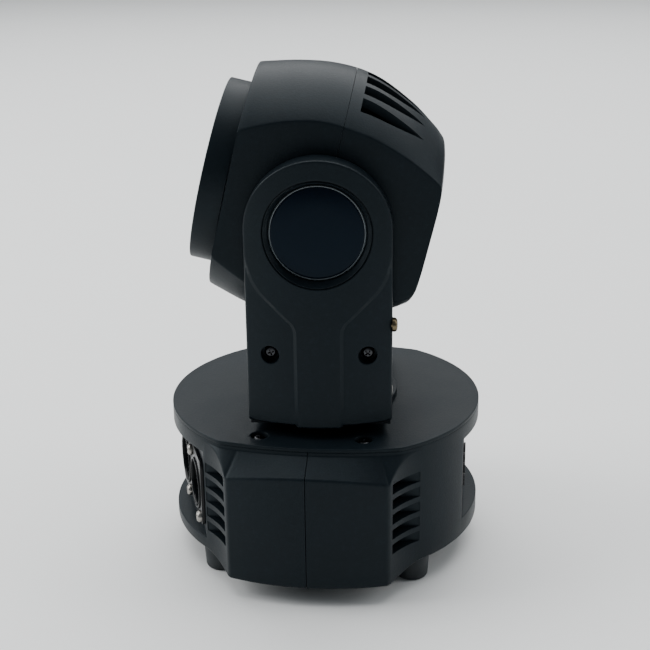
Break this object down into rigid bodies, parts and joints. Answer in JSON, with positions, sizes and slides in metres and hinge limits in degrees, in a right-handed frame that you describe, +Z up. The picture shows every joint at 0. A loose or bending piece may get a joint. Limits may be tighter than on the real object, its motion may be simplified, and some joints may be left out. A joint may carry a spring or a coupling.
{
  "type": "moving head wash light",
  "caption": "Compact moving head stage light: round base with vented pods, sockets and display, a panning yoke and a tilting head with a lens ring and blade-shaped vents.",
  "frame": {"origin": "on the floor, under the middle of the base", "axes": "+Z up along the pan axis; X across the base through the two pods; +Y out of the side with the sockets, so the display and buttons face -Y; the tilt axis runs along X when the yoke is at pan zero, and it is stored panned by 4 degrees with the beam 13.75 degrees above level"},
  "size_m": [0.1484, 0.14, 0.2182],
  "materials": {
    "housing_black": "moulded ABS with a fine satin grain",
    "gloss_black": "polished",
    "badge_gloss": "clear domed resin over black",
    "display_window": "smoked, polished",
    "foot_rubber": "matte",
    "button_rubber": "matte",
    "belt_rubber": "matte",
    "fan_plastic": "satin",
    "painted_plate": "black powder coat",
    "black_steel": "black oxide",
    "bright_steel": "zinc plated",
    "socket_metal": "satin nickel",
    "screw_brass": "yellow passivated",
    "aluminium": "plain",
    "circuit_board": "green solder mask",
    "clear_lens": "clear acrylic, polished"
  },
  "bodies": {
    "base": {"base_shell_front": "housing_black", "base_shell_rear": "housing_black", "top_plate": "housing_black", "top_plate_screw_1": "black_steel", "top_plate_screw_2": "black_steel", "top_plate_screw_3": "black_steel", "top_plate_screw_4": "black_steel", "bottom_plate": "painted_plate", "foot_1": "foot_rubber", "foot_2": "foot_rubber", "foot_3": "foot_rubber", "foot_4": "foot_rubber", "control_panel": "gloss_black", "display_window": "display_window", "control_board": "circuit_board", "data_in_socket": "socket_metal", "data_out_socket": "socket_metal", "power_out_socket": "socket_metal", "power_in_socket": "socket_metal", "main_board": "circuit_board", "power_supply": "aluminium", "pan_motor": "black_steel", "motor_plate": "bright_steel", "pan_belt": "belt_rubber", "pan_bearing": "bright_steel"},
    "button_1": {"button_1": "button_rubber"},
    "button_2": {"button_2": "button_rubber"},
    "button_3": {"button_3": "button_rubber"},
    "button_4": {"button_4": "button_rubber"},
    "pan_pinion": {"pan_motor_pulley": "aluminium"},
    "yoke": {"pan_hub": "housing_black", "pan_pulley": "aluminium", "yoke_frame": "painted_plate", "arm_cover_left": "housing_black", "arm_cover_right": "housing_black", "arm_badge_left": "badge_gloss", "arm_badge_right": "badge_gloss", "arm_screw_left_1": "black_steel", "arm_screw_left_2": "black_steel", "arm_screw_right_1": "black_steel", "arm_screw_right_2": "black_steel", "side_screw_lower": "bright_steel", "side_screw_upper": "screw_brass", "tilt_motor": "black_steel", "tilt_belt": "belt_rubber", "tilt_bearing_left": "bright_steel", "tilt_bearing_right": "bright_steel"},
    "tilt_pinion": {"tilt_motor_pulley": "aluminium"},
    "head": {"head_front_shell": "housing_black", "head_rear_shell": "housing_black", "lens_ring": "housing_black", "lens_mask": "gloss_black", "lens_array": "clear_lens", "led_board": "circuit_board", "heat_sink": "aluminium", "fan_frame": "fan_plastic", "tilt_shaft_left": "bright_steel", "tilt_shaft_right": "bright_steel", "tilt_pulley": "aluminium"},
    "fan": {"fan_rotor": "fan_plastic"}
  },
  "joints": [
    {"name": "yoke_pan", "type": "hinge", "parent": "base", "child": "yoke", "pos_m": [0, 0, 0.0683], "axis": [0, 0, 1], "range_deg": [-274, 266]},
    {"name": "head_tilt", "type": "hinge", "parent": "yoke", "child": "head", "pos_m": [0, 0, 0.1564], "axis": [0.9976, 0.0698, 0], "range_deg": [-28.75, 176.25]},
    {"name": "pan_pinion_spin", "type": "hinge", "parent": "base", "child": "pan_pinion", "pos_m": [0.048, 0, 0.055], "axis": [0, 0, 1], "range_deg": [-1180, 1180]},
    {"name": "tilt_pinion_spin", "type": "hinge", "parent": "yoke", "child": "tilt_pinion", "pos_m": [0, 0, 0.083], "axis": [0.9976, 0.0698, 0], "range_deg": [-85, 500]},
    {"name": "fan_spin", "type": "hinge", "parent": "head", "child": "fan", "pos_m": [0.00187, -0.02671, 0.15432], "axis": [-0.0678, 0.969, 0.2377], "continuous": true},
    {"name": "button_1_press", "type": "slide", "parent": "base", "child": "button_1", "axis": [0, 1, 0], "range_m": [0, 0.0006], "stiffness_N_per_m": 400},
    {"name": "button_2_press", "type": "slide", "parent": "base", "child": "button_2", "axis": [0, 1, 0], "range_m": [0, 0.0006], "stiffness_N_per_m": 400},
    {"name": "button_3_press", "type": "slide", "parent": "base", "child": "button_3", "axis": [0, 1, 0], "range_m": [0, 0.0006], "stiffness_N_per_m": 400},
    {"name": "button_4_press", "type": "slide", "parent": "base", "child": "button_4", "axis": [0, 1, 0], "range_m": [0, 0.0006], "stiffness_N_per_m": 400}
  ],
  "couplings": [
    {"joint": "pan_pinion_spin", "follows": "yoke_pan", "ratio": 4.2833},
    {"joint": "tilt_pinion_spin", "follows": "head_tilt", "ratio": 2.8}
  ]
}
